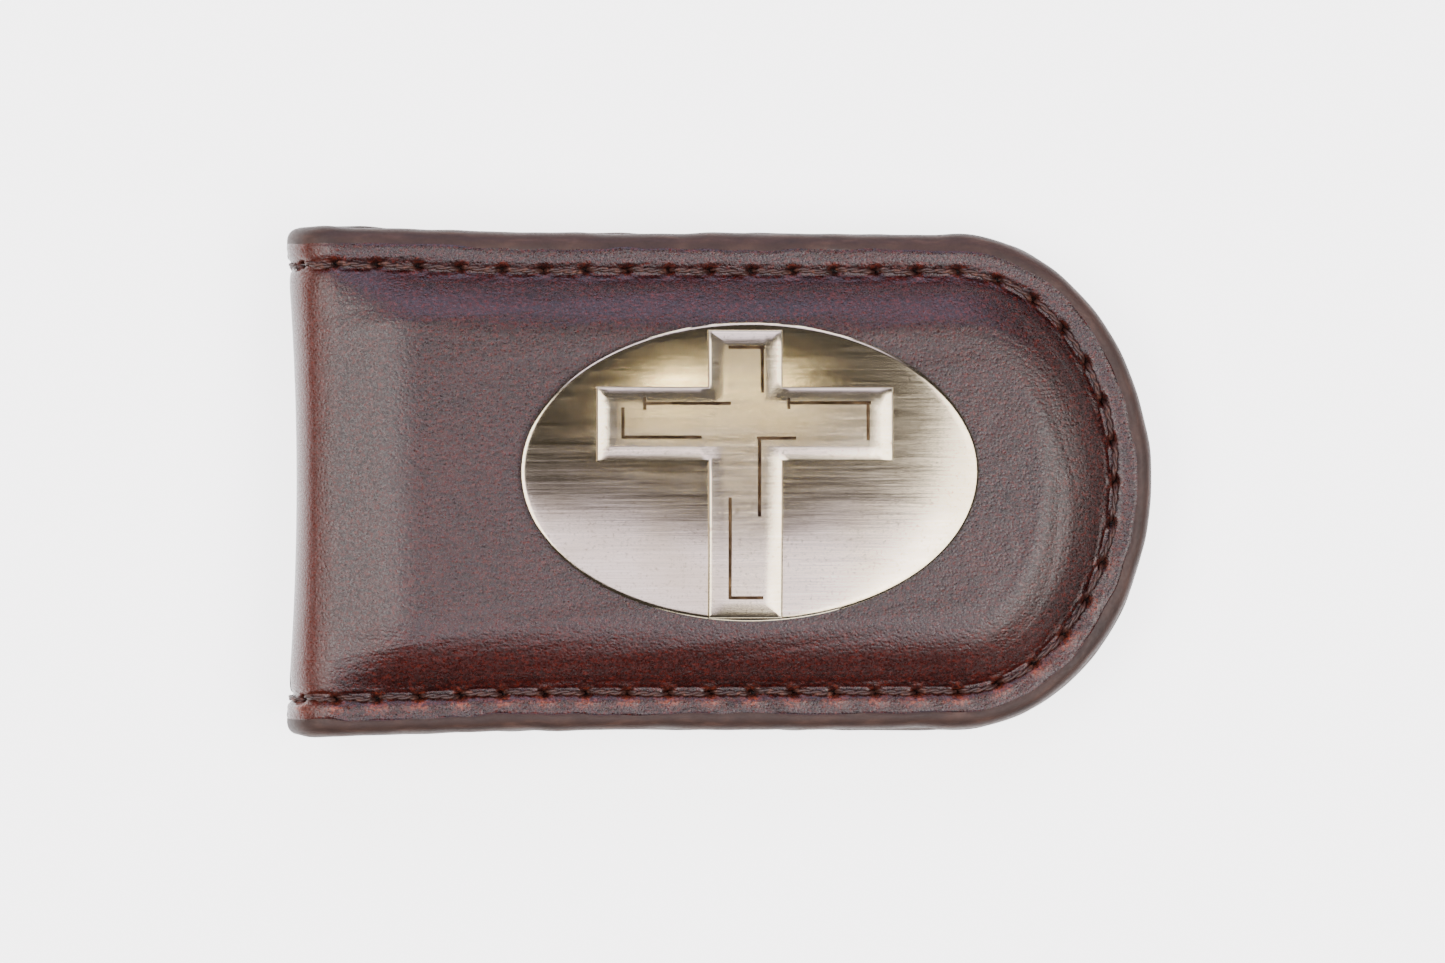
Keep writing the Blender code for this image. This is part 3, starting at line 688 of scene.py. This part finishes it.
def leather_leaf(leaf, finishes):
    """One leaf's cover and lining, each from the middle of the fold to the tip."""
    seam = Seam(leaf, BORDER)
    outer, inner = cover_rows(leaf, seam)
    cover_finishes = [finishes["cover"], finishes["edge"]]
    cover = build_shell(leaf + "_leather", leaf, seam, outer, inner, cover_finishes, EDGE_STEPS)
    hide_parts(leaf + "_cover", "fold_cover")
    bend(cover)
    inner_seam = Seam(leaf, 0.0)
    bare, glued = lining_rows(leaf, inner_seam)
    lining_finishes = [finishes["lining"], finishes["edge"]]
    lining_name = leaf + "_lining_leather"
    lining = build_shell(lining_name, leaf, inner_seam, bare, glued, lining_finishes, LINING_EDGE_STEPS)
    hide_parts(leaf + "_lining", "fold_lining")
    bend(lining)
    return seam, inner_seam


# Stitches -------------------------------------------------------------------------------------------------


def stitches(name, seam, outward, finish, nodes):
    """Every stitch of one seam as twisted two-ply thread that dives into the needle holes."""
    rings, sides = THREAD_RINGS, THREAD_SIDES
    source = random.Random(name)
    verts, faces = [], []
    along = np.linspace(-0.5, 0.5, rings)
    around = 2 * math.pi * np.arange(sides) / sides
    for k in range(seam.stitches):
        start = (k + 0.5) * seam.pitch
        slant = source.uniform(*STITCH_SLANT)
        shift = source.uniform(-STITCH_SHIFT, STITCH_SHIFT) + 0.02
        first_turn = source.uniform(0, math.pi)
        crown = STITCH_CROWN + source.uniform(-0.03, 0.03)
        for ply in (0, 1):
            turn = first_turn + ply * math.pi + 2 * math.pi * along * seam.pitch / THREAD_LAY
            dive = np.abs(2 * along) ** 5
            centre_up = crown - STITCH_DIVE * dive
            centre_in = shift + slant * along * 2
            spread = THREAD_PLY * 0.46 * (1 - 0.35 * dive)
            thick = THREAD_PLY / 2 * 1.12 * (1 - 0.25 * dive)
            ring_in = centre_in + spread * np.cos(turn)
            ring_up = centre_up + spread * 0.75 * np.sin(turn)
            place_in = ring_in[:, None] + thick[:, None] * np.cos(around)[None, :]
            place_up = ring_up[:, None] + thick[:, None] * np.sin(around)[None, :]
            place_along = (start + along * seam.pitch * 0.99)[:, None] + np.zeros((1, sides))
            base = seam.height - SEAM_SINK - NEEDLE_BED if outward > 0 else SEAM_SINK * 0.8
            points = seam.places(place_along, place_in, base + outward * place_up)
            first = len(verts)
            verts.extend(points.reshape(-1, 3).tolist())
            for ring in range(rings - 1):
                for s in range(sides):
                    a = first + ring * sides + s
                    b = first + ring * sides + (s + 1) % sides
                    faces.append((a, b, b + sides, a + sides))
            faces.append(tuple(first + s for s in range(sides)))
            faces.append(tuple(first + (rings - 1) * sides + s for s in reversed(range(sides))))
    mesh = bpy.data.meshes.new(name)
    mesh.from_pydata(verts, [], faces)
    bm = bmesh.new()
    bm.from_mesh(mesh)
    bmesh.ops.recalc_face_normals(bm, faces=bm.faces)
    bm.to_mesh(mesh)
    bm.free()
    mesh.shade_smooth()
    mesh.materials.append(finish)
    made = bpy.data.objects.new(name, mesh)
    bpy.context.scene.collection.objects.link(made)
    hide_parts(*nodes)
    bend(made)


# Concho ---------------------------------------------------------------------------------------------------


def deselect():
    """Nothing is selected or being edited afterwards."""
    if bpy.context.object and bpy.context.object.mode != "OBJECT":
        bpy.ops.object.mode_set(mode="OBJECT")
    bpy.ops.object.select_all(action="DESELECT")


def pick(obj, wanted, domain="polygons"):
    """Selects the faces, edges or vertices that the test wants, and leaves the object in edit mode."""
    bpy.ops.object.mode_set(mode="OBJECT")
    mesh = obj.data
    for group in (mesh.vertices, mesh.edges, mesh.polygons):
        group.foreach_set("select", [False] * len(group))
    for element in getattr(mesh, domain):
        element.select = wanted(element)
    mode = {"polygons": "FACE", "edges": "EDGE", "vertices": "VERT"}[domain]
    bpy.ops.object.mode_set(mode="EDIT")
    bpy.ops.mesh.select_mode(type=mode)


def dome(x, y):
    """Height of the concho's dome here, in metres, above its rim."""
    out = (x / (CONCHO_LENGTH / 2 * MM)) ** 2 + (y / (CONCHO_WIDTH / 2 * MM)) ** 2
    beside = math.exp(-(((x / MM - CROSS_X) / DISH_WIDTH) ** 2))
    dished = CONCHO_DISH * beside * float(smooth_step((y / MM - DISH_FROM) / DISH_RUN))
    return (CONCHO_DOME * (1 - out) + CONCHO_ROLL * (1 - out**3) - dished) * MM


def concho_plate():
    """The oval plate: a circle drawn up into a rim and in over the dome, ring by ring."""
    deselect()
    bpy.ops.mesh.primitive_circle_add(vertices=160, radius=CONCHO_LENGTH / 2 * MM, fill_type="NGON")
    plate = bpy.context.object
    plate.scale = (RIM_START, RIM_START * CONCHO_WIDTH / CONCHO_LENGTH, 1.0)
    bpy.ops.object.transform_apply(location=False, rotation=False, scale=True)
    bpy.ops.object.mode_set(mode="EDIT")
    bpy.ops.mesh.select_all(action="SELECT")
    share, last_height = RIM_START, 0.0
    for wanted, height in RIM + [(ring, RIM_TOP) for ring in DOME_RINGS]:
        step = (0, 0, (height - last_height) * MM)
        bpy.ops.mesh.extrude_region_move(TRANSFORM_OT_translate={"value": step})
        scale = wanted / share
        bpy.ops.transform.resize(value=(scale, scale, 1.0), center_override=(0, 0, 0))
        share, last_height = wanted, height
    bpy.ops.object.mode_set(mode="OBJECT")
    for vertex in plate.data.vertices:
        if vertex.co.z > DOME_FROM * MM:
            vertex.co.z += dome(vertex.co.x, vertex.co.y)
    return plate


def cross_grooves():
    """Centre lines of the incised broken outline: (x, y) at both ends, from the concho's centre."""
    top, bottom, arm = 10.3, -10.42, 5.66
    return [
        ((-1.76, top), (1.06, top)),
        ((0.93, top), (0.93, 6.63)),
        ((-8.81, arm), (-1.76, arm)),
        ((-8.81, 6.1), (-8.81, 5.2)),
        ((-10.6, 5.22), (-10.6, 2.86)),
        ((-10.6, 2.86), (-4.2, 2.86)),
        ((3.13, 5.7), (9.86, 5.7)),
        ((3.11, 6.02), (3.11, 5.27)),
        ((9.7, arm), (9.7, 2.7)),
        ((0.55, 2.79), (3.63, 2.79)),
        ((0.68, 2.79), (0.68, -3.62)),
        ((-1.75, -2.21), (-1.75, bottom)),
        ((-1.75, bottom), (0.93, bottom)),
    ]


def groove_cutter(first, last, height, finishes):
    """A square bar set on its corner, which cuts a V along this line and leaves it blackened."""
    length = math.dist(first, last) + GROOVE_WIDTH * GROOVE_OVERRUN
    side = GROOVE_WIDTH * math.sqrt(0.5)
    deselect()
    bpy.ops.mesh.primitive_cube_add(size=MM)
    bar = bpy.context.object
    lies_along_x = abs(last[0] - first[0]) > abs(last[1] - first[1])
    turn = (math.radians(45), 0, 0) if lies_along_x else (0, math.radians(45), 0)
    size = (length, side, side) if lies_along_x else (side, length, side)
    middle = ((first[0] + last[0]) / 2 * MM, (first[1] + last[1]) / 2 * MM, height)
    turned = Euler(turn).to_matrix().to_4x4()
    bar.data.transform(Matrix.Translation(middle) @ turned @ Matrix.Diagonal((*size, 1)))
    for finish in finishes:
        bar.data.materials.append(finish)
    for face in bar.data.polygons:
        face.material_index = 1
    return bar


def concho_cross(finishes):
    """The raised cross: a plane drawn out into four arms, lifted, bevelled, cut and bent to the dome."""
    half = CROSS_BAR / 2
    deselect()
    bpy.ops.mesh.primitive_plane_add(size=CROSS_BAR * MM)
    cross = bpy.context.object

    def ends_of(edge):
        """Where an edge of the cross ends, at both ends."""
        return [cross.data.vertices[v].co for v in edge.vertices]

    for (dx, dy), reach in CROSS_ARMS.items():
        edge_middle = Vector((dx * half * MM, dy * half * MM, 0.0))
        pick(cross, lambda edge: (sum(ends_of(edge), Vector()) / 2 - edge_middle).length < 0.01 * MM, "edges")
        outwards = (dx * (reach - half) * MM, dy * (reach - half) * MM, 0.0)
        bpy.ops.mesh.extrude_region_move(TRANSFORM_OT_translate={"value": outwards})
    bpy.ops.object.mode_set(mode="OBJECT")
    cross.data.transform(Matrix.Translation((CROSS_X * MM, CROSS_Y * MM, 0.0)))
    bpy.ops.object.mode_set(mode="EDIT")
    bpy.ops.mesh.select_all(action="SELECT")
    upwards = (0, 0, (CROSS_SUNK + CROSS_FOOT_WALL) * MM)
    bpy.ops.mesh.extrude_region_move(TRANSFORM_OT_translate={"value": upwards})
    bpy.ops.mesh.inset(thickness=CROSS_BEVEL * MM, depth=CROSS_RISE * MM)
    bpy.ops.mesh.select_all(action="SELECT")
    bpy.ops.mesh.normals_make_consistent(inside=False)
    crown = (CROSS_SUNK + CROSS_FOOT_WALL + CROSS_RISE) * MM
    bpy.ops.object.mode_set(mode="OBJECT")
    bm = bmesh.new()
    bm.from_mesh(cross.data)
    sharp = {e.index for e in bm.edges if len(e.link_faces) == 2 and e.calc_face_angle() > CROSS_SHARP}
    bm.free()
    pick(cross, lambda edge: edge.index in sharp and min(end.z for end in ends_of(edge)) > 0.01 * MM, "edges")
    bpy.ops.mesh.bevel(offset=CROSS_ROUNDING * MM, segments=3, profile=0.5)
    bpy.ops.object.mode_set(mode="OBJECT")
    for finish in finishes:
        cross.data.materials.append(finish)
    for first, last in cross_grooves():
        bar = groove_cutter(first, last, crown, finishes)
        cut = cross.modifiers.new("groove", "BOOLEAN")
        cut.operation = "DIFFERENCE"
        cut.object = bar
        deselect()
        cross.select_set(True)
        bpy.context.view_layer.objects.active = cross
        bpy.ops.object.modifier_apply(modifier=cut.name)
        bpy.data.objects.remove(bar)
    bpy.ops.object.mode_set(mode="EDIT")
    for across, cuts in CROSS_CUTS.items():
        for k in range(-cuts, cuts + 1):
            bpy.ops.mesh.select_all(action="SELECT")
            bpy.ops.mesh.bisect(plane_co=Vector(across) * k * CUT_PITCH * MM, plane_no=across)
    bpy.ops.object.mode_set(mode="OBJECT")
    for vertex in cross.data.vertices:
        vertex.co.z += CROSS_SEAT * MM + dome(vertex.co.x, vertex.co.y)
    return cross


def concho(finishes):
    """The struck concho, moved to its place on the front leaf."""
    plate = concho_plate()
    cross = concho_cross([finishes["cross"], finishes["groove"]])
    plate.data.materials.append(finishes["plate"])
    deselect()
    plate.select_set(True)
    cross.select_set(True)
    bpy.context.view_layer.objects.active = plate
    bpy.ops.object.join()
    plate.name = "struck_concho"
    low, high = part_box("concho")
    centre = FRAMES["front"].inverted() @ ((low + high) / 2)
    base = (INNER_RADIUS + BORDER + PAD_RISE + LAYER_GAP) * MM
    place = Matrix.Translation((centre.x, centre.y, base))
    plate.data.transform(FRAMES["front"] @ place)
    bpy.ops.object.mode_set(mode="EDIT")
    bpy.ops.mesh.select_all(action="SELECT")
    bpy.ops.mesh.normals_make_consistent(inside=False)
    bpy.ops.object.mode_set(mode="OBJECT")
    bpy.ops.object.shade_smooth_by_angle(angle=CONCHO_SHARP)
    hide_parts("concho")
    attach(plate, "front_leaf")


# Studio ---------------------------------------------------------------------------------------------------


def studio_floor():
    """A white light table, so that no shadow falls round the clip."""
    made, _, shader = start_material("white_light_table")
    glow = {"Emission Color": "#ffffff", "Emission Strength": 3.0}
    connect(shader, {"Base Color": "#f4f4f4", "Roughness": 0.9, **glow})
    bpy.ops.mesh.primitive_plane_add(size=TABLE_SIZE, location=(0, 0, CAD_BOX[0][2] - TABLE_GAP))
    floor = bpy.context.object
    floor.name = "light_table"
    floor.data.materials.append(made)


def soft_box(name, azimuth, elevation, size, radiance, colour):
    """A rectangular soft box, so many degrees round from +X and so many up, that faces the clip."""
    data = bpy.data.lights.new(name, "AREA")
    data.shape = "RECTANGLE"
    data.size, data.size_y = size
    data.energy = radiance * math.pi * size[0] * size[1]
    data.color = linear(colour)[:3]
    made = bpy.data.objects.new(name, data)
    turn, rise = math.radians(azimuth), math.radians(elevation)
    flat = LIGHT_DISTANCE * math.cos(rise)
    made.location = (flat * math.cos(turn), flat * math.sin(turn), LIGHT_DISTANCE * math.sin(rise))
    made.rotation_euler = (-made.location).to_track_quat("-Z", "Y").to_euler()
    bpy.context.scene.collection.objects.link(made)


def studio():
    """A light table, a dim room and soft boxes on all sides but the near one, with a dark gap overhead."""
    studio_floor()
    world = bpy.data.worlds.new("dim_room")
    world.use_nodes = True
    bpy.context.scene.world = world
    connect(world.node_tree.nodes["Background"], {"Color": "#c4bcb0", "Strength": 0.14})
    soft_box("overhead_soft_box", -90, 77.2, (0.50, 0.205), 3.8, "#e9e1ff")
    soft_box("left_soft_box", 182, 58, (0.60, 0.38), 8.0, "#fffaf8")
    soft_box("right_soft_box", -16, 57, (0.60, 0.38), 8.5, "#fff9f6")
    soft_box("far_soft_box", 90, 42, (0.70, 0.32), 4.6, "#e0dafc")
    soft_box("warm_lamp", 54, 80.8, (0.034, 0.03), 42.0, "#ffebbc")


def camera():
    """Looks straight down, with the clip in the middle of the frame."""
    data = bpy.data.cameras.new("camera")
    data.lens = LENS
    data.sensor_width = SENSOR
    data.clip_start = 0.01
    made = bpy.data.objects.new("camera", data)
    made.location = (0.3 * MM, 0.0, VIEW_HEIGHT * MM + VIEW_WIDTH * MM * LENS / SENSOR)
    bpy.context.scene.collection.objects.link(made)
    bpy.context.scene.camera = made


# The clip -------------------------------------------------------------------------------------------------


def finish_cad_nodes(finishes):
    """Gives the CAD's own pieces, which lie inside the leather, the finish of their kind."""
    for name, node in frame["nodes"].items():
        for kind, finish in finishes.items():
            if kind in name:
                node.data.materials.clear()
                node.data.materials.append(finish)


def main():
    """Builds the clip and the studio."""
    metal = brushed_nickel_silver("brushed_nickel_silver", 0.10, 0.18)
    finish_cad_nodes({"prong": metal, "filler": pressed_board(), "magnet": plated_magnet()})
    finishes = {"cover": waxed_leather(), "edge": burnished_edge(), "lining": lining_leather()}
    thread = waxed_thread()
    for leaf in ("front", "back"):
        outer_seam, inner_seam = leather_leaf(leaf, finishes)
        for kind, seam, outward in (("needle", outer_seam, 1), ("bobbin", inner_seam, -1)):
            nodes = [f"{leaf}_{kind}_thread", f"fold_{kind}_thread_left", f"fold_{kind}_thread_right"]
            stitches(f"{leaf}_{kind}_stitches", seam, outward, thread, nodes)
    cross = brushed_nickel_silver("satin_nickel_silver", 0.17, 0.26)
    concho({"plate": metal, "cross": cross, "groove": blackened_groove()})
    studio()
    camera()


main()
